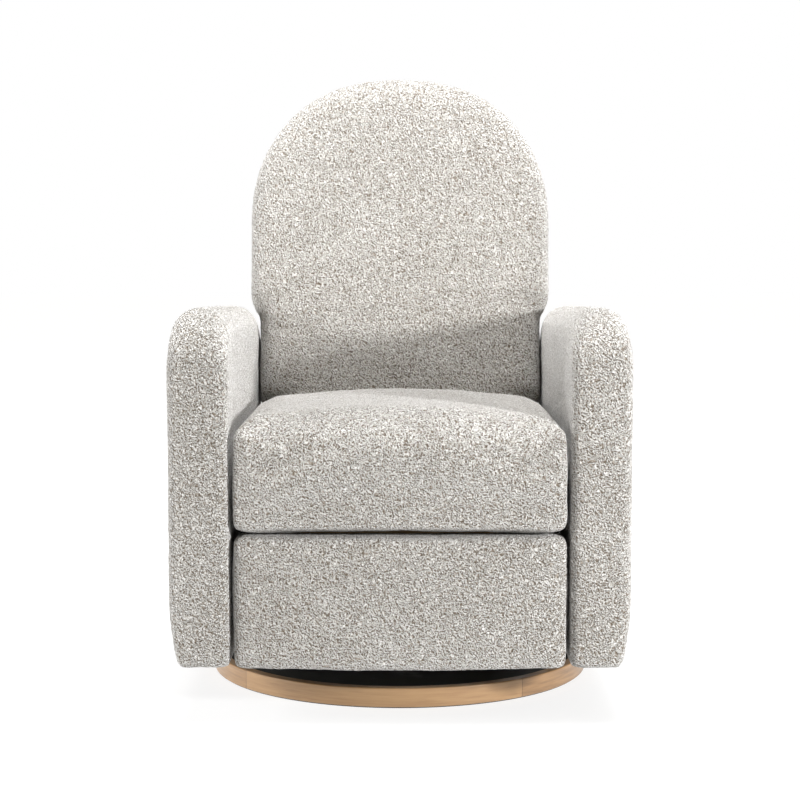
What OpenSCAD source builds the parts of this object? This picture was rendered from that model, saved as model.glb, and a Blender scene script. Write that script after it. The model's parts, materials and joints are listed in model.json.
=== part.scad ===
// Nursery chair that swivels, glides, reclines and raises a footrest.
// Millimetres. The chair faces -Y, +Z is up, and the origin is the swivel axis on the floor.

/* [Overall] */
// Distance between the inner faces of the two arms
seat_gap = 528; // [524:1:530]
// Thickness of one upholstered arm
arm_thick = 96; // [94:1:100]
// Height of the arms at the front
arm_top = 646; // [640:1:655]
// Underside of the arms above the floor
arm_bottom = 88; // [86:1:90]

/* [Base] */
// Outer radius of the wooden ring on the floor
ring_r = 325; // [318:1:326]
// Height of the wooden ring
ring_h = 33; // [33:1:39]
// Wall thickness of the wooden ring
ring_wall = 18; // [15:1:20]
// Number of balls in the swivel bearing
ball_count = 16; // [12:1:18]
// Thickness of the rubber strip under the ring
strip_t = 2; // [1.5:0.5:3]

/* [Glider] */
// Pivot-to-pivot length of a glider link
link_len = 100; // [96:1:102]
// Distance from the middle to the front or rear pivots
pivot_y = 110; // [105:1:112]

/* [Seat] */
// Height of the seat springs, where the cushion sits
deck_z = 298; // [296:1:300]
// Height of the middle of the seat cushion
crown_z = 490; // [480:1:495]

/* [Back] */
// Lean of the back from upright at rest, in degrees
back_lean = 12; // [11:1:13]
// Thickness of the back
back_thick = 130; // [124:1:132]
// Length of the back above its pivot
back_len = 729; // [715:1:735]
// Half of the widest part of the back
back_half = 280; // [276:1:284]

/* [Footrest] */
// Pivot-to-pivot length of a footrest bar
bar_len = 165; // [160:1:165]
// Angle of the folded bars from level, in degrees
bar_fold = 80; // [79:0.5:80]
// Angle of the opened bars from level, in degrees
bar_open = 10; // [10:0.5:12]

/* [Hidden] */

$fn = 48;
fabric = [0.80, 0.78, 0.75];
oak = [0.75, 0.58, 0.41];
black = [0.10, 0.10, 0.10];
steel = [0.62, 0.63, 0.65];
ply = [0.78, 0.66, 0.48];

// Radial play in a running joint
play = 0.05;
inner_x = seat_gap / 2;
outer_x = inner_x + arm_thick;
arm_front = -415;
arm_rear = 310;

// Swivel bearing and glider levels
race_r = 105;
ball_r = 4;
ball_z = 35;
plate_z = 43;
top_z = 180;
low_z = top_z - link_len;
pin_r = 6;

// Positions of the layers of steel plate across the chair, as inner faces
link_x = 154;
rail_x = 164;
side_x = 244;
bar_x = 238;
cross_x = 232;
tilt_x = 226;
bracket_x = 220;

// Arm frame board and the pocket that holds it
board_x = 300;
board_t = 18;

// Back pivot
hub_y = 221;
hub_z = 335;
hub_r = back_thick / 2;

// Footrest linkage, folded, in y and z
step_y = bar_len * cos(bar_fold);
step_z = bar_len * sin(bar_fold);
root_p = [-270, 266];
slide_p = root_p + [0, -step_z];
knee_p = root_p + [-step_y, -step_z];
elbow_p = root_p + [-step_y, 0];
near_mid = root_p + [-step_y / 2, -step_z / 2];
far_mid = root_p + [-3 * step_y / 2, -step_z / 2];
head_p = root_p + [-2 * step_y, 0];
tilt_q = 45;
tilt_p = far_mid + tilt_q * [-cos(bar_fold), -sin(bar_fold)];
toggle_p = head_p + tilt_q * [-cos(83), -sin(83)];
rivet_r = 4;

// Points on an arc round c from angle a0 to a1
function arc(c, r, a0, a1, n = 10) =
  [for (i = [0:n]) c + r * [cos(a0 + (a1 - a0) * i / n), sin(a0 + (a1 - a0) * i / n)]];

// Extrude a y-z outline from x0 to x1
module along_x(x0, x1) translate([x0, 0, 0]) rotate([90, 0, 90]) linear_extrude(x1 - x0) children();

// Extrude an x-z outline from y0 to y1
module along_y(y0, y1) translate([0, y1, 0]) rotate([90, 0, 0]) linear_extrude(y1 - y0) children();

// A part that starts at x on the right side and its mirror image
module both_sides() {
  children();
  mirror([1, 0, 0]) children();
}

// Round bar along x from x0 to x1 through the y-z point p
module pin_x(p, r, x0, x1) translate([x0, p[0], p[1]]) rotate([0, 90, 0]) cylinder(h = x1 - x0, r = r);

// Straight bar outline with round ends between two y-z points
module bar_shape(a, b, r) {
  turn = atan2(b[1] - a[1], b[0] - a[0]);
  polygon(concat(arc(b, r, turn - 90, turn + 90, 16), arc(a, r, turn + 90, turn + 270, 16)));
}

// Flat bar from a to b with a hole at each listed [point, radius]
module flat_bar(a, b, r, x0, x1, holes) {
  difference() {
    along_x(x0, x1) bar_shape(a, b, r);
    for (h = holes) pin_x(h[0], h[1], x0 - 1, x1 + 1);
  }
}

// Square outline with rounded corners, centred
module round_rect(w, h, r) {
  c = [w / 2 - r, h / 2 - r];
  polygon(concat(
    arc([c[0], c[1]], r, 0, 90), arc([-c[0], c[1]], r, 90, 180),
    arc([-c[0], -c[1]], r, 180, 270), arc([c[0], -c[1]], r, 270, 360)));
}

// ---------- base ----------

module base_ring() {
  inner = ring_r - ring_wall;
  color(oak) rotate_extrude($fn = 128) polygon(concat(
    [[inner, strip_t], [ring_r - 1, strip_t], [ring_r, strip_t + 1]],
    arc([ring_r - 2, ring_h - 2], 2, 0, 90, 4),
    arc([inner + 2, ring_h - 2], 2, 90, 180, 4)));
}

module floor_strip() {
  color(black) difference() {
    cylinder(h = strip_t, r = ring_r - 4);
    translate([0, 0, -1]) cylinder(h = 5, r = ring_r - ring_wall + 2);
  }
}

// Places for the six screws of each bearing race
module race_spots(r, turn) for (i = [0:5]) rotate(i * 60 + turn) translate([r, 0, 0]) children();

module base_deck() {
  color(black) difference() {
    translate([0, 0, 15]) cylinder(h = 12, r = ring_r - ring_wall);
    translate([0, 0, 14]) cylinder(h = 14, r = 30);
    race_spots(119, 0) translate([0, 0, 14]) cylinder(h = 14, r = 2);
  }
}

// One race of the swivel bearing between two heights, with the ball groove
module race(z0, z1) {
  difference() {
    translate([0, 0, z0]) cylinder(h = z1 - z0, r = race_r + 22);
    translate([0, 0, z0 - 1]) cylinder(h = z1 - z0 + 2, r = race_r - 22);
    rotate_extrude() translate([race_r, ball_z]) circle(ball_r + 0.1);
  }
}

module bearing_lower_race() {
  color(steel) difference() {
    race(27, 33.5);
    race_spots(119, 0) translate([0, 0, 26]) cylinder(h = 9, r = 2);
  }
}

module bearing_balls() {
  color(steel) for (i = [0:ball_count - 1])
    rotate((i + 0.5) * 360 / ball_count) translate([race_r, 0, ball_z]) sphere(ball_r);
}

module bearing_cage() {
  color("ivory") difference() {
    translate([0, 0, ball_z - 0.8]) cylinder(h = 1.6, r = race_r + 7);
    translate([0, 0, ball_z - 2]) cylinder(h = 4, r = race_r - 7);
    for (i = [0:ball_count - 1])
      rotate((i + 0.5) * 360 / ball_count) translate([race_r, 0, ball_z - 2])
        cylinder(h = 4, r = ball_r + 0.3);
  }
}

module lower_race_screws() {
  color(steel) race_spots(119, 0) {
    translate([0, 0, 17]) cylinder(h = 16.5, r = 2);
    translate([0, 0, 33.5]) cylinder(h = 2, r = 3.5);
  }
}

// ---------- turntable ----------

module bearing_upper_race() {
  color(steel) difference() {
    race(36.5, plate_z);
    race_spots(119, 30) translate([0, 0, 36]) cylinder(h = 8, r = 2.5);
  }
}

module glider_plate() {
  color(black) difference() {
    translate([0, 0, plate_z]) linear_extrude(5) round_rect(320, 290, 20);
    translate([0, 0, plate_z - 1]) cylinder(h = 7, r = 60);
    race_spots(119, 30) translate([0, 0, plate_z - 1]) cylinder(h = 7, r = 2.5);
  }
}

// Folded upright on the +X side: a foot, and a web with the two top pivots
module upright() {
  difference() {
    union() {
      translate([116, -130, plate_z + 5]) cube([34, 260, 4]);
      along_x(146, 150) union() {
        polygon([[-130, plate_z + 5], [130, plate_z + 5], [pivot_y + 16, top_z], [-pivot_y - 16, top_z]]);
        for (s = [-1, 1]) translate([s * pivot_y, top_z]) circle(16);
      }
    }
    along_x(145, 151) translate([0, 112]) circle(34);
    for (s = [-1, 1]) pin_x([s * pivot_y, top_z], pin_r, 145, 151);
  }
}

module upright_left() color(black) upright();
module upright_right() color(black) mirror([1, 0, 0]) upright();

module plate_bolts() {
  color(steel) race_spots(119, 30) {
    translate([0, 0, 37]) cylinder(h = 11, r = 2.5);
    translate([0, 0, plate_z + 5]) cylinder(h = 3, r = 5);
  }
}

module glider_top_pins() {
  color(steel) both_sides() for (s = [-1, 1]) {
    pin_x([s * pivot_y, top_z], pin_r, 146, 161.5);
    pin_x([s * pivot_y, top_z], 8.5, 161.5, 163.5);
    pin_x([s * pivot_y, top_z], 8.5, 143, 146);
  }
}

// ---------- glider links ----------

// Pair of hanging links at y = s * pivot_y
module link_pair(s) {
  both_sides() flat_bar([s * pivot_y, low_z], [s * pivot_y, top_z], 14, link_x, link_x + 5,
    [[[s * pivot_y, low_z], 9], [[s * pivot_y, top_z], 9]]);
}

// Nylon bushes pressed into a link pair
module bush_pair(s, low_play) {
  both_sides() for (end = [[top_z, play], [low_z, low_play]]) difference() {
    pin_x([s * pivot_y, end[0]], 9, link_x - 1, link_x + 6);
    pin_x([s * pivot_y, end[0]], pin_r + end[1], link_x - 2, link_x + 7);
  }
}

module front_links() color(black) link_pair(-1);
module front_link_bushes() color("ivory") bush_pair(-1, play);
module rear_links() color(black) link_pair(1);
module rear_link_bushes() color("ivory") bush_pair(1, 0.3);

// ---------- chassis ----------

module glide_rail() {
  difference() {
    translate([rail_x, -211, low_z - 12]) cube([4, 422, 24]);
    for (s = [-1, 1]) pin_x([s * pivot_y, low_z], pin_r, rail_x - 1, rail_x + 5);
  }
}

module glide_rail_left() color(black) glide_rail();
module glide_rail_right() color(black) mirror([1, 0, 0]) glide_rail();

module glider_lower_pins() {
  color(steel) both_sides() for (s = [-1, 1]) {
    pin_x([s * pivot_y, low_z], pin_r, 152.5, 168);
    pin_x([s * pivot_y, low_z], 8.5, 151, 152.5);
    pin_x([s * pivot_y, low_z], 8.5, 168, 171);
  }
}

// Square tube across the chair, y0 is its front face, with solid threaded ends
module cross_tube(y0) {
  z0 = low_z + 12;
  difference() {
    translate([-board_x, y0, z0]) cube([2 * board_x, 25, 25]);
    translate([25 - board_x, y0 + 2, z0 + 2]) cube([2 * board_x - 50, 21, 21]);
    both_sides() pin_x([y0 + 12.5, z0 + 12.5], 4, board_x - 30, board_x + 1);
  }
}

module front_cross_tube() color(black) cross_tube(-211);
module rear_cross_tube() color(black) cross_tube(186);

// Height of the seat track bolts
track_z = 252;
track_bolts = [-60, 150];

module arm_frame() {
  difference() {
    along_x(board_x, board_x + board_t) polygon([
      [-370, 93], [270, 93], [270, 500], [210, 560], [-320, 575], [-370, 520]]);
    for (p = [[-200, 430], [90, 430]]) along_x(board_x - 1, board_x + board_t + 1)
      translate(p) round_rect(200, 150, 30);
    for (y = [-198.5, 198.5]) pin_x([y, low_z + 24.5], 4, board_x - 1, board_x + board_t + 1);
    for (y = track_bolts) pin_x([y, track_z], 3, board_x - 1, board_x + board_t + 1);
  }
}

module arm_frame_left() color(ply) arm_frame();
module arm_frame_right() color(ply) mirror([1, 0, 0]) arm_frame();

// Side outline of an arm: soft front corner and a top that falls a little to the rear
module arm_side() {
  polygon(concat(
    arc([arm_front + 25, arm_bottom + 25], 25, 270, 180),
    arc([arm_front + 90, arm_top - 90], 90, 180, 92),
    arc([arm_rear - 100, arm_top - 124], 100, 88, 0),
    arc([arm_rear - 25, arm_bottom + 25], 25, 0, -90)));
}

// Front outline of the +X arm: round top and an outer face that tucks in at the foot
module arm_end() {
  r = arm_thick / 2;
  polygon(concat(
    [[inner_x, arm_bottom]], [[inner_x, arm_top - r]],
    arc([inner_x + r, arm_top - r], r, 180, 0, 16),
    [[outer_x, 160], [outer_x - 4, 120], [outer_x - 12, arm_bottom]]));
}

// Upholstered arm on the +X side, open below round its frame
module arm_body() {
  difference() {
    intersection() {
      along_x(inner_x, outer_x) arm_side();
      along_y(arm_front, arm_rear) arm_end();
      translate([inner_x + arm_thick / 2, (arm_front + arm_rear) / 2, 0])
        linear_extrude(arm_top) round_rect(arm_thick, arm_rear - arm_front, 18);
    }
    translate([board_x - 0.5, -371, 80]) cube([24, 642, 496]);
    for (y = [-212, 185]) translate([inner_x - 2, y, 80]) cube([board_x - inner_x + 3, 27, 38]);
    for (y = track_bolts) pin_x([y, track_z], 4, inner_x - 1, board_x);
  }
}

module arm_left() color(fabric) arm_body();

// The arm on the sitter's right also has the recess of the release lever
recess_p = [-200, 372];
module arm_right() {
  color(fabric) mirror([1, 0, 0]) difference() {
    arm_body();
    along_x(outer_x - 18, outer_x + 1) translate(recess_p) round_rect(116, 60, 10);
  }
}

module rear_board() {
  color(ply) translate([-inner_x, 273, 92]) cube([2 * inner_x, 12, 168]);
}

module rear_panel() {
  color(fabric) intersection() {
    along_y(285, 310) translate([0, 175]) round_rect(2 * inner_x, 172, 10);
    translate([0, 290, 0]) linear_extrude(400) round_rect(2 * inner_x, 40, 12);
  }
}

module rear_board_brackets() {
  color(black) both_sides() {
    translate([110, 211, 100]) cube([40, 62, 4]);
    translate([110, 269, 104]) cube([40, 4, 40]);
  }
}

// Channel on the inner side of the +X arm that guides the seat
module seat_track() {
  difference() {
    translate([250, -235, 240]) cube([14, 420, 24]);
    translate([249, -236, 246]) cube([9, 422, 12]);
    for (y = track_bolts) pin_x([y, track_z], 3, 249, 265);
  }
}

module seat_track_left() color(black) seat_track();
module seat_track_right() color(black) mirror([1, 0, 0]) seat_track();

module frame_bolts() {
  color(steel) both_sides() {
    for (y = [-198.5, 198.5]) {
      pin_x([y, low_z + 24.5], 4, board_x - 24, board_x + board_t);
      pin_x([y, low_z + 24.5], 7, board_x + board_t, board_x + board_t + 4);
    }
    for (y = track_bolts) {
      pin_x([y, track_z], 3, 258, board_x + board_t);
      pin_x([y, track_z], 5, 256, 258);
      pin_x([y, track_z], 6, board_x + board_t, board_x + board_t + 3);
    }
  }
}

// ---------- release lever ----------

lever_y = recess_p[0] - 44;

// Recessed tray with a moulded stub above and below for the lever to turn on
module release_bezel() {
  color(black) mirror([1, 0, 0]) {
    difference() {
      along_x(outer_x - 18, outer_x - 0.5) translate(recess_p) round_rect(115, 59, 9.5);
      along_x(outer_x - 16, outer_x + 1) translate(recess_p) round_rect(105, 49, 6);
    }
    for (z = [-25, 18]) translate([outer_x - 9, lever_y, recess_p[1] + z]) cylinder(h = 7, r = 2.5);
  }
}

module release_lever() {
  color(black) mirror([1, 0, 0]) difference() {
    union() {
      translate([outer_x - 11, lever_y, recess_p[1] - 22]) cube([4, 88, 44]);
      translate([outer_x - 9, lever_y, recess_p[1] - 22]) cylinder(h = 44, r = 5);
      translate([outer_x - 9, lever_y + 88, recess_p[1] - 22]) cylinder(h = 44, r = 3.5);
    }
    translate([outer_x - 9, lever_y, recess_p[1] - 23]) cylinder(h = 46, r = 2.5 + play);
  }
}

// ---------- seat ----------

block_spots = [-160, 80];

// Steel side of the seat: rail, slotted horn for the footrest and ear for the back
module seat_plate() {
  difference() {
    along_x(side_x, side_x + 4) union() {
      translate([-334, 240]) square([564, 52]);
      translate([root_p[0] - 14, slide_p[1] - 12]) square([28, 292 - slide_p[1] + 12]);
      translate([196, 262]) square([48, hub_z - 262]);
      translate([hub_y, hub_z]) circle(24);
    }
    along_x(side_x - 1, side_x + 5) union() {
      bar_shape(slide_p, root_p - [0, bar_len * sin(bar_open)], 5);
    }
    pin_x(root_p, rivet_r, side_x - 1, side_x + 5);
    pin_x([hub_y, hub_z], 7, side_x - 1, side_x + 5);
    for (y = block_spots) pin_x([y, track_z], 3, side_x - 1, side_x + 5);
  }
}

module seat_plate_left() color(black) seat_plate();
module seat_plate_right() color(black) mirror([1, 0, 0]) seat_plate();

module slide_blocks() {
  color("ivory") both_sides() for (y = block_spots) {
    translate([side_x + 4, y - 20, track_z - 5.6]) cube([9.4, 40, 11.2]);
    pin_x([y, track_z], 3, side_x, side_x + 4);
  }
}

module seat_rail(y0, w) translate([-side_x, y0, deck_z - 20]) cube([2 * side_x, w, 14]);
module seat_front_rail() color(ply) seat_rail(-334, 62);
module seat_rear_rail() color(ply) seat_rail(96, 46);

// Flat zigzag wire along y, amp wide each side, from y0 to y1 with the given number of bends
module zigzag(y0, y1, amp, bends, wire) {
  n = bends * 8;
  path = [for (i = [0:n]) [amp * sin(i * 180 * bends / n), y0 + (y1 - y0) * i / n]];
  slope = [for (i = [0:n]) amp * cos(i * 180 * bends / n) * PI * bends / (y1 - y0)];
  side = [for (i = [0:n]) wire / 2 * [1, -slope[i]] / norm([1, slope[i]])];
  polygon(concat(
    [for (i = [0:n]) path[i] + side[i]],
    [for (i = [n:-1:0]) path[i] - side[i]]));
}

spring_x = [-180, -90, 0, 90, 180];

module seat_springs() {
  color(steel) for (x = spring_x)
    translate([x, 0, deck_z - 6]) linear_extrude(3.5) zigzag(-300, 122, 20, 14, 3.8);
}

module spring_clips() {
  color(steel) for (x = spring_x) for (y = [-300, 122]) difference() {
    translate([x - 18, y - 5, deck_z - 6]) cube([36, 10, 5.5]);
    translate([x - 14, y - 6, deck_z - 7]) cube([28, 12, 5]);
  }
}

// Side outline of the seat cushion, with its waterfall front
module cushion_side() {
  polygon(concat(
    [[150, deck_z], [150, 345], [176, 462], [60, crown_z - 8]],
    arc([-350, crown_z - 75], 75, 90, 180),
    arc([-395, deck_z + 30], 30, 180, 270)));
}

// Front outline of the seat cushion, crowned between round shoulders
module cushion_end() {
  w = inner_x - 2;
  r = 45;
  shoulder = crown_z - 32;
  crown = [for (i = [0:12]) let (x = (w - r) * (1 - i / 6)) [x, crown_z - 32 * pow(x / (w - r), 2)]];
  polygon(concat(
    [[-w, deck_z], [w, deck_z]],
    arc([w - r, shoulder - r], r, 0, 80, 8), crown,
    arc([r - w, shoulder - r], r, 100, 180, 8)));
}

module seat_cushion() {
  color(fabric) intersection() {
    along_x(2 - inner_x, inner_x - 2) cushion_side();
    along_y(-430, 200) cushion_end();
  }
}

// ---------- back ----------

// Put a shape drawn upright at the pivot into the leaning back
module on_back() translate([0, hub_y, hub_z]) rotate([-back_lean, 0, 0]) children();

// Front outline of the back, grown by g: narrow between the arms, wide above, arched on top
arch_z = 441;
module back_outline(g = 0) {
  wide = back_half + g;
  rise = back_len - arch_z + g;
  arch = [for (i = [0:24]) let (a = i * 7.5)
    [wide * sign(cos(a)) * pow(abs(cos(a)), 2 / 2.25), arch_z + rise * pow(abs(sin(a)), 2 / 2.25)]];
  polygon(concat(
    [[-228 - g, -hub_r - 1], [228 + g, -hub_r - 1], [228 + g, 82 - g], [257 + g, 100 - g],
     [257 + g, 272], [(257 + back_half) / 2 + g, 284], [wide, 298]],
    arch,
    [[-wide, 298], [-(257 + back_half) / 2 - g, 284], [-257 - g, 272],
     [-257 - g, 100 - g], [-228 - g, 82 - g]]));
}

// Side outline of the back: round roll at the pivot and a rounded top
module back_side() {
  r = 60;
  e = hub_r - r;
  polygon(concat(
    arc([0, 0], hub_r, 180, 360, 20),
    arc([e, back_len - r], r, 0, 90),
    arc([-e, back_len - r], r, 90, 180)));
}

module back_body() {
  intersection() {
    along_y(-hub_r, hub_r) back_outline();
    along_x(-back_half, back_half) back_side();
  }
}

frame_half = 229;
frame_bolt_z = [110, 180];

module back_frame() {
  color(ply) on_back() difference() {
    along_y(12, 30) intersection() {
      back_outline(-14);
      translate([-back_half, 40]) square([2 * back_half, back_len]);
    }
    both_sides() translate([frame_half, 11, 30]) cube([40, 20, 186]);
    along_y(11, 31) translate([0, 320]) round_rect(340, 440, 60);
    both_sides() for (z = frame_bolt_z) pin_x([21, z], 3, 200, 240);
  }
}

module back_springs() {
  color(steel) on_back() for (z = [160, 240, 320, 400, 480])
    translate([0, 12, z]) rotate([90, 0, 0]) rotate(90) linear_extrude(3.5) zigzag(-190, 190, 16, 13, 3.8);
}

// Plate that joins the back frame to the seat's ear, with welded studs into the frame
module back_brackets() {
  color(black) on_back() both_sides() {
    difference() {
      along_x(frame_half, frame_half + 4) union() {
        circle(22);
        translate([-18, 0]) square([48, 205]);
      }
      pin_x([0, 0], 7 + play, frame_half - 1, frame_half + 5);
    }
    for (z = frame_bolt_z) pin_x([21, z], 3, 200, frame_half);
  }
}

// Pins fixed in the seat's ears, on which the back brackets turn
module back_pivot_pins() {
  color(steel) both_sides() {
    pin_x([hub_y, hub_z], 7, 229, 248);
    pin_x([hub_y, hub_z], 10, 248, 251);
    difference() {
      pin_x([hub_y, hub_z], 11, 234.5, 243.5);
      pin_x([hub_y, hub_z], 7, 234, 244);
    }
  }
}

module back_cushion() {
  color(fabric) on_back() difference() {
    back_body();
    along_y(30, 80) square([700, 1700], center = true);
    along_y(8, 31) intersection() {
      back_outline(-13.5);
      translate([-300, 38]) square([600, 800]);
    }
    both_sides() translate([frame_half - 1, -19, -30]) cube([6, 60, 240]);
  }
}

module back_cover() {
  color(fabric) on_back() intersection() {
    back_body();
    along_y(30, 80) square([700, 1700], center = true);
  }
}

// ---------- footrest ----------

// Rivet shank from x0 to x1 with a thin head beyond each end
module rivet(p, x0, x1) {
  pin_x(p, rivet_r, x0, x1);
  pin_x(p, 6.5, x0 - 1.2, x0);
  pin_x(p, 6.5, x1, x1 + 1.2);
}

module footrest_pivot_pins() color(steel) both_sides() rivet(root_p, bar_x - 0.1, side_x + 4);

module near_bars() {
  color(black) both_sides() flat_bar(root_p, knee_p, 10, bar_x, bar_x + 4,
    [[root_p, rivet_r + play], [near_mid, rivet_r], [knee_p, rivet_r]]);
}

module near_cross_bars() {
  color(black) both_sides() flat_bar(slide_p, elbow_p, 10, cross_x, cross_x + 4,
    [[slide_p, rivet_r], [near_mid, rivet_r + play], [elbow_p, rivet_r]]);
}

module far_bars() {
  color(black) both_sides() flat_bar(knee_p, head_p, 10, cross_x, cross_x + 4,
    [[knee_p, rivet_r + play], [far_mid, rivet_r], [head_p, rivet_r]]);
}

// The elbow hole is the open pivot of the scissor, and the far end carries the tilt link's rivet
module far_cross_bars() {
  color(black) both_sides() {
    flat_bar(elbow_p, tilt_p, 10, bar_x, bar_x + 4,
      [[elbow_p, rivet_r + 0.5], [far_mid, rivet_r + play], [tilt_p, rivet_r]]);
    rivet(tilt_p, tilt_x - 0.1, bar_x + 4);
  }
}

// The upper hole is larger than its stud, so the link follows without binding
module tilt_links() {
  color(black) both_sides() flat_bar(tilt_p, toggle_p, 8.5, tilt_x, tilt_x + 4,
    [[tilt_p, rivet_r + play], [toggle_p, 5.6]]);
}

module near_bar_rivets() {
  color(steel) both_sides() {
    rivet(near_mid, cross_x - 0.1, bar_x + 4);
    rivet(knee_p, cross_x - 0.1, bar_x + 4);
  }
}

// Pins of the cross bars: one slides in the slot of the seat plate, one is the elbow
module slide_pins() {
  color(steel) both_sides() {
    rivet(slide_p, cross_x, side_x + 4.3);
    rivet(elbow_p, cross_x, bar_x + 4.1);
  }
}

module far_bar_rivets() {
  color(steel) both_sides() {
    rivet(far_mid, cross_x, bar_x + 4.1);
    rivet(head_p, bracket_x - 0.1, cross_x + 4);
  }
}

// Plate on the back of the footrest board, with a headed stud for the tilt link
module footrest_brackets() {
  color(black) both_sides() {
    difference() {
      along_x(bracket_x, bracket_x + 4) union() {
        bar_shape(head_p, toggle_p, 9);
        translate([-342, toggle_p[1] - 40]) square([342 + head_p[0], head_p[1] - toggle_p[1] + 40]);
      }
      pin_x(head_p, rivet_r + play, bracket_x - 1, bracket_x + 5);
    }
    pin_x(toggle_p, 3, bracket_x + 4, tilt_x + 4.5);
    pin_x(toggle_p, 7.5, tilt_x + 4.5, tilt_x + 5.5);
  }
}

module footrest_board() {
  color(ply) translate([-250, -354, 92]) cube([500, 12, 194]);
}

// Padded front of the footrest, slightly bowed
module footrest_pad() {
  w = inner_x - 4;
  bow = [for (i = [0:12]) let (x = (w - 16) * (i / 6 - 1)) [x, -420 + 8 * pow(x / w, 2)]];
  color(fabric) difference() {
    intersection() {
      along_y(-425, -342) translate([0, 186]) round_rect(2 * w, 204, 20);
      linear_extrude(400) polygon(concat([[-w, -342], [-w, -396]], bow, [[w, -396], [w, -342]]));
    }
    translate([-250.5, -354, 91]) cube([501, 20, 200]);
  }
}

base_ring();
floor_strip();
base_deck();
bearing_lower_race();
bearing_balls();
bearing_cage();
lower_race_screws();
bearing_upper_race();
glider_plate();
upright_left();
upright_right();
plate_bolts();
glider_top_pins();
front_links();
front_link_bushes();
rear_links();
rear_link_bushes();
glide_rail_left();
glide_rail_right();
glider_lower_pins();
front_cross_tube();
rear_cross_tube();
arm_frame_left();
arm_frame_right();
arm_left();
arm_right();
rear_board();
rear_panel();
rear_board_brackets();
seat_track_left();
seat_track_right();
frame_bolts();
release_bezel();
release_lever();
seat_plate_left();
seat_plate_right();
slide_blocks();
seat_front_rail();
seat_rear_rail();
seat_springs();
spring_clips();
seat_cushion();
back_pivot_pins();
back_frame();
back_springs();
back_brackets();
back_cushion();
back_cover();
footrest_pivot_pins();
near_bars();
near_cross_bars();
far_bars();
far_cross_bars();
tilt_links();
near_bar_rivets();
slide_pins();
far_bar_rivets();
footrest_brackets();
footrest_board();
footrest_pad();
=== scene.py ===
"""Looks for the swivel glider nursery chair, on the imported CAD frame.

Metres throughout. The chair faces -Y, +Z is up, and the origin is the swivel axis on the floor.
"""
import json
import math

import bpy
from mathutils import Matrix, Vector, kdtree, noise


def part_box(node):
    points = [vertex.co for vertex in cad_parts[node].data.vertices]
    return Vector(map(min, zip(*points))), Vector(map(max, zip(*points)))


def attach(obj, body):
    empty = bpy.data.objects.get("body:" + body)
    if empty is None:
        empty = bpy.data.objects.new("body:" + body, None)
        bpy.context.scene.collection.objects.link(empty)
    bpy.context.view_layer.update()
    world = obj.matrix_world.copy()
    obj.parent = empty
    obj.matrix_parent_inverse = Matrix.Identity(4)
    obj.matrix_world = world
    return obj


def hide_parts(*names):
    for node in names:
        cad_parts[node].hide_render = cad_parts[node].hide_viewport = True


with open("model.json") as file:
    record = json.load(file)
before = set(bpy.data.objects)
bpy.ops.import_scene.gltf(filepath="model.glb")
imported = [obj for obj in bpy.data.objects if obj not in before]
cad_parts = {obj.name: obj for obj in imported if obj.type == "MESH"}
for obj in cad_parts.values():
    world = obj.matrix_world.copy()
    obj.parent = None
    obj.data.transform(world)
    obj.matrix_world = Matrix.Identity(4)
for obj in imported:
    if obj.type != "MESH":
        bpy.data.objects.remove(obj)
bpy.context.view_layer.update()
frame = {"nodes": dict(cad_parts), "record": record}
scene = bpy.context.scene

ARC_STEPS = 12   # segments in an outline's rounded corner
RIM_STEPS = 8    # segments in a slab's rounded rim
ARCH_STEPS = 48  # segments in the arch of the back
NEARLY_ZERO = 1e-6
STRAIGHT = math.radians(89.5)  # half angle above which an outline's corner needs no rounding


# ---------------------------------------------------------------- node graphs


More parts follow.
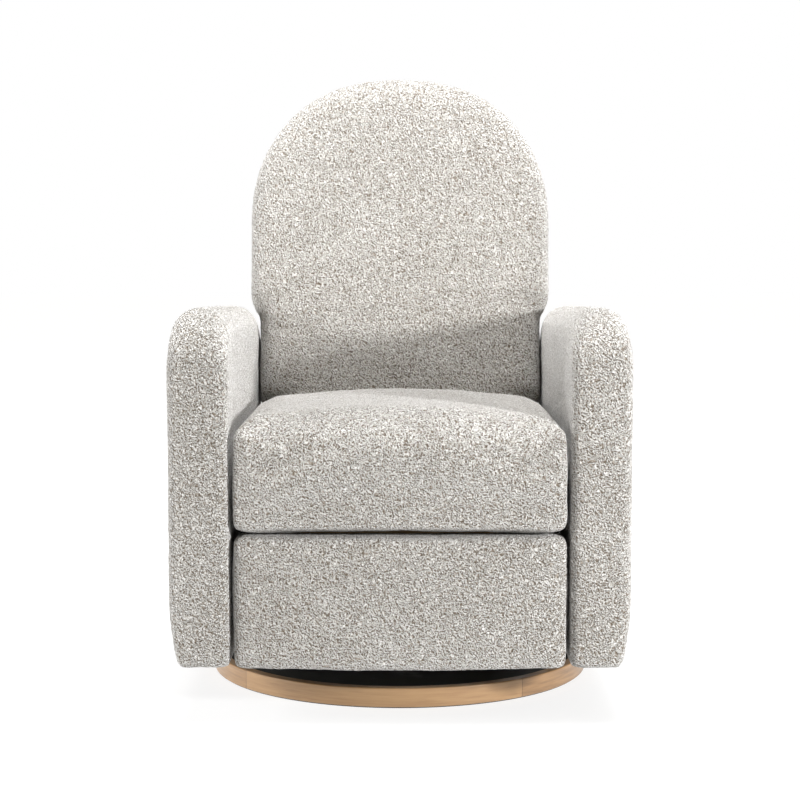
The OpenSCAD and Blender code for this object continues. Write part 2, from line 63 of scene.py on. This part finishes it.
class Graph:
    """A material's node tree with short calls for making and linking nodes."""

    def __init__(self, name):
        self.mat = bpy.data.materials.new(name)
        self.mat.use_nodes = True
        self.tree = self.mat.node_tree
        self.bsdf = self.tree.nodes["Principled BSDF"]
        self.place = self.make("ShaderNodeTexCoord").outputs["Object"]

    def make(self, kind, settings=None, **inputs):
        """A new node, with its properties from settings and its sockets from inputs."""
        node = self.tree.nodes.new(kind)
        for key, value in (settings or {}).items():
            setattr(node, key, value)
        for key, value in inputs.items():
            self.put(node.inputs[key.replace("_", " ")], value)
        return node

    def put(self, socket, value):
        """Links a socket to another node's output, or sets its number."""
        if isinstance(value, bpy.types.NodeSocket):
            self.tree.links.new(value, socket)
        else:
            socket.default_value = value

    def math(self, operation, a, b=0.0, c=0.0, clamp=False):
        node = self.make("ShaderNodeMath", {"operation": operation, "use_clamp": clamp})
        for socket, value in zip(node.inputs, (a, b, c)):
            self.put(socket, value)
        return node.outputs[0]

    def length(self, value):
        node = self.make("ShaderNodeVectorMath", {"operation": "LENGTH"})
        self.put(node.inputs[0], value)
        return node.outputs["Value"]

    def vector(self, operation, a, b=(0, 0, 0), scale=1.0):
        node = self.make("ShaderNodeVectorMath", {"operation": operation})
        self.put(node.inputs[0], a)
        self.put(node.inputs[1], b)
        if operation == "SCALE":
            node.inputs["Scale"].default_value = scale
        return node.outputs[0]

    def noise(self, at, scale, detail=2.0, rough=0.5, colour=False):
        node = self.make("ShaderNodeTexNoise", Vector=at, Scale=scale, Detail=detail, Roughness=rough)
        return node.outputs["Color" if colour else "Fac"]

    def step(self, value, low, high, to_low=0.0, to_high=1.0):
        """Smooth change from to_low to to_high while value goes from low to high."""
        node = self.make("ShaderNodeMapRange", {"interpolation_type": "SMOOTHSTEP"})
        for socket, number in zip(node.inputs, (value, low, high, to_low, to_high)):
            self.put(socket, number)
        return node.outputs[0]

    def ramp(self, value, stops):
        node = self.make("ShaderNodeValToRGB", Fac=value)
        points = node.color_ramp.elements
        while len(points) < len(stops):
            points.new(0.5)
        for point, (at, colour) in zip(points, stops):
            point.position = at
            point.color = (*colour, 1)
        return node.outputs["Color"]

    def bump(self, height, distance, strength=1.0, under=None):
        node = self.make("ShaderNodeBump", Height=height, Distance=distance, Strength=strength)
        if under is not None:
            self.put(node.inputs["Normal"], under)
        return node.outputs["Normal"]

    def finish(self, colour, normal=None, **sockets):
        """Puts the colour, relief and other values on the shader, and gives the material back."""
        self.put(self.bsdf.inputs["Base Color"], colour)
        if normal is not None:
            self.put(self.bsdf.inputs["Normal"], normal)
        for key, value in sockets.items():
            self.put(self.bsdf.inputs[key.replace("_", " ")], value)
        return self.mat


# ---------------------------------------------------------------- materials


STRAND_SCALE = 235.0                      # curled strands per metre of fabric, roughly
KNOT_SCALE = 275.0
# Offset towards the light: the yarn's height here against its height at this offset paints shade and
# highlight on the loops' sides.
LIT_FROM = (-0.0011, 0.0007, -0.0011)     # offset between the two yarn heights that shade a loop


def yarn(g, at):
    """Height of the looped yarn at a place: curled strands and round knots between them."""
    field = g.noise(at, STRAND_SCALE, 0.8, 0.4)
    strand = g.step(g.math("ABSOLUTE", g.math("SUBTRACT", field, 0.5)), 0.0, 0.10, 1.0, 0.0)
    knots = g.make("ShaderNodeTexVoronoi", Vector=at, Scale=KNOT_SCALE).outputs["Distance"]
    return g.math("MAXIMUM", strand, g.step(knots, 0.1, 0.75, 1.0, 0.0))


def boucle():
    """Looped woolly yarn: short curled strands, with a highlight painted on one side of each loop, shade
    painted on the other side, and painted shade in the low hollows.
    """
    g = Graph("boucle_fabric")
    drift = g.vector("SUBTRACT", g.noise(g.place, 90, 1.0, colour=True), (0.5, 0.5, 0.5))
    at = g.vector("ADD", g.place, g.vector("SCALE", drift, scale=0.008))
    height = yarn(g, at)
    beside = yarn(g, g.vector("ADD", at, LIT_FROM))
    # Painted relief: the height here less the height towards the light, so one side of each loop is
    # painted pale as if lit and the other is painted in shade.
    painted_relief_shade = g.math("MULTIPLY_ADD", g.math("SUBTRACT", height, beside), 0.73, 0.5)
    clump = g.math("SUBTRACT", g.noise(g.place, 9, 2.0), 0.5)
    # Tone: the painted relief shade, painted shade in the hollows where the yarn lies low, then random
    # clumps of paler and darker yarn.
    tone = g.math("ADD", g.math("MULTIPLY", painted_relief_shade, 0.74), g.math("MULTIPLY", height, 0.26))
    tone = g.math("ADD", tone, g.math("MULTIPLY", clump, 0.16), clamp=True)
    # The darkest stops are painted shade in the hollows and on the loops' shaded sides, the palest are
    # painted highlights.
    colour = g.ramp(tone, [(0.10, (0.125, 0.10, 0.075)), (0.33, (0.30, 0.27, 0.23)),
                           (0.52, (0.475, 0.45, 0.41)), (0.72, (0.615, 0.595, 0.56)),
                           (0.95, (0.79, 0.78, 0.76))])
    # Along each seam the fabric is bumped into a groove and its colour is darkened by painted shade.
    seam = g.make("ShaderNodeAttribute", {"attribute_name": "seam"}).outputs["Fac"]
    crease = g.step(seam, 0.0, 0.004, 0.0, 1.0)
    shade = g.make("ShaderNodeMix", {"data_type": "RGBA", "blend_type": "MULTIPLY"}, Factor=1.0)
    g.put(shade.inputs["A"], colour)
    g.put(shade.inputs["B"], g.ramp(crease, [(0.0, (0.45, 0.40, 0.36)), (1.0, (1, 1, 1))]))
    fine = g.bump(height, 0.0026)
    normal = g.bump(crease, 0.003, under=fine)
    return g.finish(shade.outputs["Result"], normal, Roughness=0.95, Sheen_Weight=0.9,
                    Sheen_Roughness=0.35, Specular_IOR_Level=0.2)


GRAIN_RADIUS = 0.323  # radius at which the grain round the ring has its true length
FIRST_JOINT = 0.908   # turns the ring's four joints away from the front, in radians


def ring_wood():
    """Light brown veneer bent round the ring, in four boards with fine butt joints."""
    g = Graph("ring_veneer")
    split = g.make("ShaderNodeSeparateXYZ", Vector=g.place)
    angle = g.math("ARCTAN2", split.outputs["Y"], split.outputs["X"])
    reach = g.length(g.vector("MULTIPLY", g.place, (1, 1, 0)))
    around = g.math("MULTIPLY", angle, GRAIN_RADIUS)
    unrolled = g.make("ShaderNodeCombineXYZ", X=around, Y=reach, Z=split.outputs["Z"]).outputs[0]
    grain = g.noise(g.vector("MULTIPLY", unrolled, (6, 90, 90)), 2.2, 5.0, 0.6)
    pores = g.noise(g.vector("MULTIPLY", unrolled, (40, 900, 900)), 1.0, 2.0)
    panel = g.math("DIVIDE", g.math("ADD", angle, FIRST_JOINT + math.pi), math.pi / 2)
    board = g.math("MODULO", g.math("FLOOR", panel), 4.0)
    tone = g.math("FRACT", g.math("MULTIPLY_ADD", board, 0.45, 0.45))
    edge = g.math("ABSOLUTE", g.math("SUBTRACT", g.math("FRACT", panel), 0.5))
    joint = g.step(edge, 0.4988, 0.4996, 1.0, 0.0)
    mix = g.math("ADD", g.math("MULTIPLY", grain, 0.70), g.math("MULTIPLY", tone, 0.30))
    mix = g.math("MULTIPLY", g.math("SUBTRACT", mix, g.math("MULTIPLY", pores, 0.12)), joint, clamp=True)
    colour = g.ramp(mix, [(0.0, (0.088, 0.047, 0.021)), (0.25, (0.195, 0.111, 0.051)),
                          (0.5, (0.32, 0.186, 0.085)), (0.85, (0.425, 0.268, 0.126))])
    normal = g.bump(g.math("ADD", g.math("MULTIPLY", pores, 0.3), joint), 0.0003)
    return g.finish(colour, normal, Roughness=0.38, Coat_Weight=0.35, Coat_Roughness=0.25)


def plywood():
    """Raw birch board with long pale grain."""
    g = Graph("birch_plywood")
    grain = g.noise(g.vector("MULTIPLY", g.place, (8, 60, 60)), 2.0, 5.0, 0.6)
    colour = g.ramp(grain, [(0.3, (0.50, 0.36, 0.22)), (0.6, (0.68, 0.53, 0.35)),
                            (0.8, (0.75, 0.62, 0.44))])
    return g.finish(colour, g.bump(grain, 0.0004), Roughness=0.6)


def powder_coat(name, base, roughness):
    """Coated steel: fine orange peel and slightly polished rubbed spots."""
    g = Graph(name)
    peel = g.noise(g.place, 700, 2.0)
    worn = g.step(g.noise(g.place, 18, 3.0), 0.55, 0.75)
    light = tuple(min(1.0, c * 1.6 + 0.01) for c in base)
    colour = g.ramp(worn, [(0.0, base), (1.0, light)])
    gloss = g.step(worn, 0, 1, roughness, roughness - 0.12)
    return g.finish(colour, g.bump(peel, 0.0003, 0.6), Roughness=gloss)


def bright_steel():
    """Zinc plated steel with fine brushed streaks."""
    g = Graph("zinc_steel")
    streak = g.noise(g.vector("MULTIPLY", g.place, (60, 900, 900)), 1.0, 3.0)
    cloud = g.noise(g.place, 30, 3.0)
    colour = g.ramp(cloud, [(0.3, (0.50, 0.50, 0.52)), (0.7, (0.68, 0.68, 0.70))])
    gloss = g.step(streak, 0.3, 0.7, 0.24, 0.38)
    return g.finish(colour, g.bump(streak, 0.0002, 0.4), Metallic=1.0, Roughness=gloss)


def moulded(name, base, roughness, texture=500):
    """Moulded plastic or rubber with a fine spark-eroded grain."""
    g = Graph(name)
    grain = g.noise(g.place, texture, 2.0)
    cloud = g.noise(g.place, 25, 2.0)
    dim = tuple(c * 0.85 for c in base)
    colour = g.ramp(cloud, [(0.35, dim), (0.65, base)])
    return g.finish(colour, g.bump(grain, 0.0003, 0.7), Roughness=roughness)


MATERIALS = {
    "boucle": boucle(),
    "oak_ring": ring_wood(),
    "deck_black": powder_coat("deck_matt_black", (0.012, 0.013, 0.011), 0.75),
    "black_steel": powder_coat("black_powder_coat", (0.02, 0.02, 0.022), 0.5),
    "bright_steel": bright_steel(),
    "plywood": plywood(),
    "nylon": moulded("natural_nylon", (0.78, 0.76, 0.70), 0.45),
    "rubber_strip": moulded("black_rubber", (0.02, 0.02, 0.02), 0.85, 300),
    "lever_plastic": moulded("lever_grained_plastic", (0.035, 0.035, 0.037), 0.5, 900),
}


def paint_frame():
    """Gives every CAD node the material of its slot in the record."""
    slots = {s["node"]: s["material_slot"] for s in frame["record"]["subparts"]}
    for name, obj in frame["nodes"].items():
        obj.data.materials.clear()
        obj.data.materials.append(MATERIALS[slots[name]])


# ---------------------------------------------------------------- outlines


def clamp(value):
    return max(0.0, min(1.0, value))


def ease(value):
    """Smooth step from 0 to 1."""
    t = clamp(value)
    return t * t * (3 - 2 * t)


def fillet(corners, step=0.006):
    """Closed 2D outline through (point, radius) corners, given anticlockwise, evenly spaced."""
    raw = []
    count = len(corners)
    for i, (point, radius) in enumerate(corners):
        p = Vector(point)
        a = (Vector(corners[i - 1][0]) - p).normalized()
        b = (Vector(corners[(i + 1) % count][0]) - p).normalized()
        half = a.angle(b) / 2
        if radius < NEARLY_ZERO or half > STRAIGHT:
            raw.append(p)
            continue
        middle = p + (a + b).normalized() * radius / math.sin(half)
        start = p + a * radius / math.tan(half) - middle
        end = p + b * radius / math.tan(half) - middle
        swing = start.angle_signed(end)
        for k in range(ARC_STEPS + 1):
            c, s = math.cos(-swing * k / ARC_STEPS), math.sin(-swing * k / ARC_STEPS)
            raw.append(middle + Vector((start.x * c - start.y * s, start.x * s + start.y * c)))
    return even(raw, step)


def even(points, step):
    """The closed line through points, resampled to an even spacing near step."""
    count = len(points)
    lengths = [(points[(i + 1) % count] - points[i]).length for i in range(count)]
    total = sum(lengths)
    wanted = max(24, round(total / step))
    out, i, used = [], 0, 0.0
    for k in range(wanted):
        target = total * k / wanted
        while used + lengths[i] < target:
            used += lengths[i]
            i += 1
        share = (target - used) / lengths[i] if lengths[i] > 1e-9 else 0
        out.append(points[i].lerp(points[(i + 1) % count], share))
    return out


def by_facing(side, top, bottom, power=2):
    """Edge radius as a function of which way the outline faces there."""

    def radius(normal):
        lift = max(-1.0, min(1.0, normal.y))
        blend = abs(lift) ** power * (3 - 2 * abs(lift))
        return side + ((top if lift > 0 else bottom) - side) * blend

    return radius


def even_edge(radius):
    """Edge radius that is the same all round."""
    return by_facing(radius, radius, radius)


# ---------------------------------------------------------------- soft pieces

NO_SEAM = 0.05  # distance stored where no seam is near


def front_on(across, up, depth):
    """Place of a slab that is outlined as seen from the front."""
    return Vector((across, depth, up))


def side_on(side):
    """Place of a slab that is outlined as seen from the side: +1 to the left arm, -1 to the right."""
    return lambda across, up, depth: Vector((side * depth, across, up))


def loft(name, outline, near, far, near_edge, far_edge, place):
    """Closed slab: an outline given depth from near to far, its two rims rounded by edge functions.

    place turns (across, up, depth) into a point of the chair.
    """
    count = len(outline)
    normals = []
    for i in range(count):
        tangent = outline[(i + 3) % count] - outline[i - 3]
        normals.append(Vector((tangent.y, -tangent.x)).normalized())
    turns = [math.pi / 2 * k / RIM_STEPS for k in range(RIM_STEPS + 1)]
    rings = []
    for a in turns:
        inward, deeper = 1 - math.sin(a), 1 - math.cos(a)
        rings.append([(p - n * near_edge(n) * inward, near + near_edge(n) * deeper)
                      for p, n in zip(outline, normals)])
    for a in turns:
        inward, deeper = 1 - math.cos(a), 1 - math.sin(a)
        rings.append([(p - n * far_edge(n) * inward, far - far_edge(n) * deeper)
                      for p, n in zip(outline, normals)])
    points = [place(p.x, p.y, depth) for ring in rings for p, depth in ring]
    faces = []
    for r in range(len(rings) - 1):
        for i in range(count):
            j = (i + 1) % count
            faces.append((r * count + i, r * count + j, (r + 1) * count + j, (r + 1) * count + i))
    faces.append(tuple(reversed(range(count))))
    last = (len(rings) - 1) * count
    faces.append(tuple(range(last, last + count)))
    mesh = bpy.data.meshes.new(name)
    mesh.from_pydata(points, [], faces)
    mesh.update()
    obj = bpy.data.objects.new(name, mesh)
    scene.collection.objects.link(obj)
    return obj


def bake(obj):
    """Replaces an object's mesh by what its modifiers make of it."""
    graph = bpy.context.evaluated_depsgraph_get()
    made = bpy.data.meshes.new_from_object(obj.evaluated_get(graph))
    obj.modifiers.clear()
    obj.data = made


def remesh(obj, size, rounds=6):
    """Even quads of the given size over the whole closed form, then relaxed."""
    modifier = obj.modifiers.new("remesh", "REMESH")
    modifier.mode = "VOXEL"
    modifier.voxel_size = size
    bake(obj)
    modifier = obj.modifiers.new("smooth", "SMOOTH")
    modifier.factor = 0.5
    modifier.iterations = rounds
    bake(obj)


def puff(obj, pressure, cap, frames=20):
    """Inflates a closed piece as stuffed cloth, and lets no point move more than cap."""
    rest = [v.co.copy() for v in obj.data.vertices]
    cloth = obj.modifiers.new("stuffing", "CLOTH")
    cloth.settings.quality = 4
    cloth.settings.mass = 0.3
    cloth.settings.tension_stiffness = 20
    cloth.settings.compression_stiffness = 20
    cloth.settings.bending_stiffness = 4
    cloth.settings.use_pressure = True
    cloth.settings.uniform_pressure_force = pressure
    cloth.settings.effector_weights.gravity = 0
    cloth.point_cache.frame_start = 1
    cloth.point_cache.frame_end = frames
    for number in range(1, frames + 1):
        scene.frame_set(number)
    bake(obj)
    scene.frame_set(1)
    for v, start in zip(obj.data.vertices, rest):
        move = v.co - start
        if move.length > cap:
            v.co = start + move * (cap / move.length)


def fit(obj, axis, low, high):
    """Stretches a piece along one axis so that it fills low to high again after it was stuffed."""
    values = [v.co[axis] for v in obj.data.vertices]
    least, most = min(values), max(values)
    for v in obj.data.vertices:
        v.co[axis] = low + (v.co[axis] - least) * (high - low) / (most - least)


def subdivide(obj):
    """One smooth subdivision."""
    modifier = obj.modifiers.new("subdivide", "SUBSURF")
    modifier.levels = 1
    modifier.render_levels = 1
    bake(obj)


def tuft(obj, seed, amount=0.0007):
    """Uneven nap: the yarn's loops push the surface in and out a little."""
    shift = Vector((seed * 1.7, seed * 0.9, seed * 2.3))
    facing = [v.normal.copy() for v in obj.data.vertices]
    for v, outward in zip(obj.data.vertices, facing):
        soft = noise.noise(v.co * 22 + shift)
        loops = noise.noise(v.co * 120 + shift)
        v.co += outward * amount * (1.2 * soft + loops)


def mark_seam(obj, points):
    """Stores each vertex's distance to the nearest seam point, for the fabric's crease: its bumped
    groove and the shade painted along it.
    """
    tree = kdtree.KDTree(max(1, len(points)))
    for i, p in enumerate(points):
        tree.insert(p, i)
    tree.balance()
    layer = obj.data.attributes.new("seam", "FLOAT", "POINT")
    layer.data.foreach_set("value", [min(NO_SEAM, tree.find(v.co)[2]) if points else NO_SEAM
                                     for v in obj.data.vertices])


def dress(obj, body, node, seam=()):
    """Finishes a fabric piece: material, shading, seam, and its place in the frame."""
    mark_seam(obj, seam)
    obj.data.materials.clear()
    obj.data.materials.append(MATERIALS["boucle"])
    for polygon in obj.data.polygons:
        polygon.use_smooth = True
    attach(obj, body)
    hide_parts(node)


# ---------------------------------------------------------------- arms

ARM_LO, ARM_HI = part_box("arm_left")
BEYOND_ARM = 0.40              # any distance outside the arm
REAR_DROP = 0.024              # the arm's top is this much lower at the rear
TUCK, TUCK_TOP = 0.013, 0.20   # how far the outer face tucks in at the foot, and from what height
SEAM_INSET = 0.030             # from the outer face's edge to its seam


def cut_recess(shell):
    """Hollow in the outer face that the release lever's bezel is set into."""
    lo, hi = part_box("release_bezel")
    play, corner = 0.0008, 0.010
    outline = fillet([((lo.y - play, lo.z - play), corner), ((hi.y + play, lo.z - play), corner),
                      ((hi.y + play, hi.z + play), corner), ((lo.y - play, hi.z + play), corner)],
                     0.003)
    sharp = even_edge(0.0001)
    cutter = loft("recess_cutter", outline, -hi.x, BEYOND_ARM, sharp, sharp, side_on(-1))
    cutter.data.flip_normals()
    modifier = shell.modifiers.new("recess", "BOOLEAN")
    modifier.operation = "DIFFERENCE"
    modifier.object = cutter
    bake(shell)
    bpy.data.objects.remove(cutter)


def arm(side, name, node, seed):
    """Upholstered arm: round on top, soft at the front, its outer face tucked in at the foot."""
    front, rear, foot, top = ARM_LO.y, ARM_HI.y, ARM_LO.z, ARM_HI.z
    outline = fillet([
        ((front, foot - 0.004), 0.014), ((rear, foot - 0.004), 0.020),
        ((rear, top - REAR_DROP), 0.100), ((front, top), 0.092)])
    shell = loft(name, outline, ARM_LO.x, ARM_HI.x, by_facing(0.018, 0.044, 0.008),
                 by_facing(0.022, 0.046, 0.009), side_on(side))
    remesh(shell, 0.0072)
    middle = (ARM_LO.x + ARM_HI.x) / 2
    for v in shell.data.vertices:
        outward = max(0.0, (side * v.co.x - middle) / (ARM_HI.x - middle))
        low = max(0.0, (TUCK_TOP - v.co.z) / (TUCK_TOP - foot))
        v.co.x -= side * outward * TUCK * low * low
    subdivide(shell)
    tuft(shell, seed)
    if side < 0:
        cut_recess(shell)
    first, last = front + SEAM_INSET, rear - SEAM_INSET
    low, high = foot + 0.02, top - 0.052
    rim = fillet([((first, low), 0.02), ((last, low), 0.02),
                  ((last, high - REAR_DROP), 0.075), ((first, high), 0.068)], 0.002)
    seam = [Vector((side * (ARM_HI.x - 0.002), p.x, p.y)) for p in rim]
    dress(shell, "chassis", node, seam)


# ---------------------------------------------------------------- seat

SEAT_LO, SEAT_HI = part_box("seat_cushion")
SEAT_REAR = 0.150          # the cushion's back edge
SEAT_CROWN = 0.015         # rise of its top over the shoulders


def seat_cushion():
    """Deep box cushion: crowned, with a waterfall front and sides that pull in at the corners."""
    half = SEAT_HI.x
    floor = SEAT_LO.z - 0.0068
    shoulder = SEAT_HI.z - 0.016
    front = SEAT_LO.y
    crown = [((half * 0.8 * (1 - i / 6), shoulder + SEAT_CROWN * (1 - abs(1 - i / 6) ** 2.2)), 0.0)
             for i in range(1, 12)]
    outline = fillet([((-half, floor), 0.012), ((half, floor), 0.012), ((half, shoulder), 0.028)]
                     + crown + [((-half, shoulder), 0.028)])
    cushion = loft("seat_cushion_soft", outline, front + 0.006, SEAT_REAR,
                   by_facing(0.014, 0.070, 0.014, 3.2), even_edge(0.020), front_on)
    remesh(cushion, 0.0080)
    puff(cushion, 4.0, 0.006)
    fit(cushion, 0, -half - 0.001, half + 0.001)
    fit(cushion, 1, front + 0.002, SEAT_REAR)
    fit(cushion, 2, floor, SEAT_HI.z)
    # The top sinks and leans back towards the hinge, and the front swells a little sideways.
    for v in cushion.data.vertices:
        up = max(0.0, (v.co.z - 0.33) / (SEAT_HI.z - 0.33))
        rearward = clamp((v.co.y + 0.10) / 0.26)
        v.co.z -= 0.022 * up * rearward * rearward
        v.co.y += 0.024 * up * rearward * rearward
        v.co.x *= 1 + 0.026 * ease((-0.375 - v.co.y) / 0.035)
        v.co.z = max(floor - 0.001, v.co.z)
    subdivide(cushion)
    tuft(cushion, 3)
    dress(cushion, "seat", "seat_cushion")


# ---------------------------------------------------------------- back

HUB = Vector((0.0, 0.221, 0.335))   # the hinge the back leans about
LEAN = math.radians(12)
BACK_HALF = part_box("back_cushion")[1].x
HALF_THICK = 0.065
SPLIT = 0.030                       # depth at which the front pad meets the rear cover
ARCH_POWER = 2 / 2.25               # a little squarer than an ellipse
HALF_BELOW, HALF_ABOVE = 0.2625, 0.2805   # half widths between the arms and above them


def on_back(across, up, depth):
    """Point of the leaning back from its own across, up and depth."""
    return HUB + Vector((across, depth * math.cos(LEAN) + up * math.sin(LEAN),
                         up * math.cos(LEAN) - depth * math.sin(LEAN)))


def back_outline():
    """Arched outline: narrow between the arms, wider above them."""
    wide = BACK_HALF + 0.001
    arch_start, top = 0.441, 0.732
    arch = []
    for i in range(ARCH_STEPS + 1):
        a = math.pi * i / ARCH_STEPS
        c, s = math.cos(a), math.sin(a)
        arch.append((math.copysign(abs(c) ** ARCH_POWER, c) * wide,
                     arch_start + (top - arch_start) * abs(s) ** ARCH_POWER))
    narrow, low = 0.261, 0.230
    right = [((low, -0.064), 0.03), ((low, 0.078), 0.012), ((narrow, 0.104), 0.012),
             ((narrow, 0.270), 0.010), ((wide, 0.294), 0.015)]
    left = [((-p[0], p[1]), r) for p, r in reversed(right)]
    return fillet(right + [(p, 0.0) for p in arch] + left)


def fill_gap(obj):
    """Brings the back's sides out to the arms below, and to the full width above them."""
    along = Vector((0, math.sin(LEAN), math.cos(LEAN)))
    heights = [(v.co - HUB).dot(along) for v in obj.data.vertices]
    low = max(abs(v.co.x) for v, up in zip(obj.data.vertices, heights) if 0.12 < up < 0.25)
    high = max(abs(v.co.x) for v, up in zip(obj.data.vertices, heights) if 0.33 < up < 0.43)
    for v, up in zip(obj.data.vertices, heights):
        t = ease((up - 0.262) / 0.03)
        v.co.x *= (1 - t) * HALF_BELOW / low + t * HALF_ABOVE / high


def back_cushion():
    """Front half of the back, a thick soft pad."""
    pad = loft("back_cushion_soft", back_outline(), 0.002 - HALF_THICK, SPLIT + 0.001,
               by_facing(0.034, 0.044, 0.058), even_edge(0.004), on_back)
    remesh(pad, 0.0098, 4)
    puff(pad, 3.0, 0.005)
    fill_gap(pad)
    subdivide(pad)
    tuft(pad, 5)
    dress(pad, "back", "back_cushion")


def back_cover():
    """Rear half of the back, fabric drawn over a thin pad."""
    cover = loft("back_cover_soft", back_outline(), SPLIT, HALF_THICK,
                 even_edge(0.004), by_facing(0.026, 0.030, 0.026), on_back)
    remesh(cover, 0.0074)
    fill_gap(cover)
    subdivide(cover)
    tuft(cover, 6)
    dress(cover, "back", "back_cover")


# ---------------------------------------------------------------- panels

PAD_LO, PAD_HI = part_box("footrest_pad")


def footrest_pad():
    """Padded front panel that folds out as the footrest, a little bowed."""
    half = PAD_HI.x + 0.0015
    low, high = PAD_LO.z - 0.004, PAD_HI.z + 0.0035
    sag, bow, corner = 0.006, 0.007, 0.012
    foot = [((x * half / 4, low + sag * (x / 4) ** 2), 0.0) for x in range(-3, 4)]
    outline = fillet([((-half, low + sag), corner)] + foot
                     + [((half, low + sag), corner), ((half, high), corner), ((-half, high), corner)])
    pad = loft("footrest_pad_soft", outline, PAD_LO.y + 0.008, PAD_HI.y - 0.004,
               by_facing(0.012, 0.008, 0.012), even_edge(0.004), front_on)
    remesh(pad, 0.0070, 4)
    for v in pad.data.vertices:
        ahead = max(0.0, (v.co.y + 0.36) / (PAD_LO.y + 0.36))
        v.co.y -= bow * ahead * (1 - (v.co.x / half) ** 2)
    puff(pad, 3.0, 0.003)
    for v in pad.data.vertices:
        v.co.x = max(-half, min(half, v.co.x))
    fit(pad, 0, -half, half)
    fit(pad, 2, low, high)
    subdivide(pad)
    tuft(pad, 7)
    dress(pad, "footrest", "footrest_pad")


def rear_panel():
    """Low upholstered panel that closes the back of the chassis."""
    lo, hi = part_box("rear_panel")
    corner = 0.012
    outline = fillet([((lo.x, lo.z), corner), ((hi.x, lo.z), corner),
                      ((hi.x, hi.z), corner), ((lo.x, hi.z), corner)])
    panel = loft("rear_panel_soft", outline, lo.y, hi.y, even_edge(0.003), even_edge(0.012), front_on)
    remesh(panel, 0.0062)
    subdivide(panel)
    tuft(panel, 8)
    dress(panel, "chassis", "rear_panel")


# ---------------------------------------------------------------- studio


CAMERA_PLACE = (0, -3.275, 0.757)
CAMERA_TILT = math.radians(84.95)
CAMERA_LENS = 84.45

LAMPS = (  # name, place, aim, size, watts
    ("key", (2.5, -2.3, 1.1), (0, 0, 0.55), 0.30, 130),
    ("fill", (-2.9, -0.55, 1.1), (0, 0, 0.5), 1.0, 98),
    ("rear", (0.6, 3.2, 1.9), (0, 0.2, 0.5), 1.6, 60),
    ("top", (0.1, 0.15, 3.1), (0, 0, 0.4), 1.5, 149),
)


def pale_floor():
    """Floor that keeps the chair's shadow and glows towards white further off."""
    bpy.ops.mesh.primitive_plane_add(size=40)
    floor = bpy.context.object
    floor.name = "studio_floor"
    g = Graph("studio_floor_pale")
    glow = g.step(g.length(g.place), 0.6, 3.0, 0.76, 0.96)
    floor.data.materials.append(g.finish((0.22, 0.22, 0.22, 1), Roughness=0.9,
                                         Emission_Color=(1, 1, 1, 1), Emission_Strength=glow))


def surround():
    """World that the camera sees as white, and that lights the chair with a weak warm light."""
    world = bpy.data.worlds.new("studio")
    world.use_nodes = True
    nodes, links = world.node_tree.nodes, world.node_tree.links
    warm = nodes["Background"]
    warm.inputs["Color"].default_value = (1, 0.93, 0.85, 1)
    warm.inputs["Strength"].default_value = 0.15
    white = nodes.new("ShaderNodeBackground")
    white.inputs["Color"].default_value = (1, 1, 1, 1)
    path = nodes.new("ShaderNodeLightPath")
    choose = nodes.new("ShaderNodeMixShader")
    links.new(path.outputs["Is Camera Ray"], choose.inputs["Fac"])
    links.new(warm.outputs[0], choose.inputs[1])
    links.new(white.outputs[0], choose.inputs[2])
    links.new(choose.outputs[0], nodes["World Output"].inputs["Surface"])
    scene.world = world


def lamps():
    """A key light low on the right, a fill from the left, and soft light from behind and above."""
    for name, where, aim, size, watts in LAMPS:
        lamp = bpy.data.lights.new(name, "AREA")
        lamp.size = size
        lamp.energy = watts
        holder = bpy.data.objects.new(name, lamp)
        holder.location = where
        direction = Vector(aim) - Vector(where)
        holder.rotation_euler = direction.to_track_quat("-Z", "Y").to_euler()
        scene.collection.objects.link(holder)


def place_camera():
    """Camera at the photograph's height, distance and framing."""
    lens = bpy.data.cameras.new("camera")
    lens.lens = CAMERA_LENS
    camera = bpy.data.objects.new("camera", lens)
    camera.location = CAMERA_PLACE
    camera.rotation_euler = (CAMERA_TILT, 0, 0)
    scene.collection.objects.link(camera)
    scene.camera = camera
    scene.view_settings.view_transform = "Standard"


pale_floor()
surround()
lamps()
place_camera()
paint_frame()
arm(1, "arm_left_soft", "arm_left", 1)
arm(-1, "arm_right_soft", "arm_right", 2)
seat_cushion()
back_cushion()
back_cover()
footrest_pad()
rear_panel()
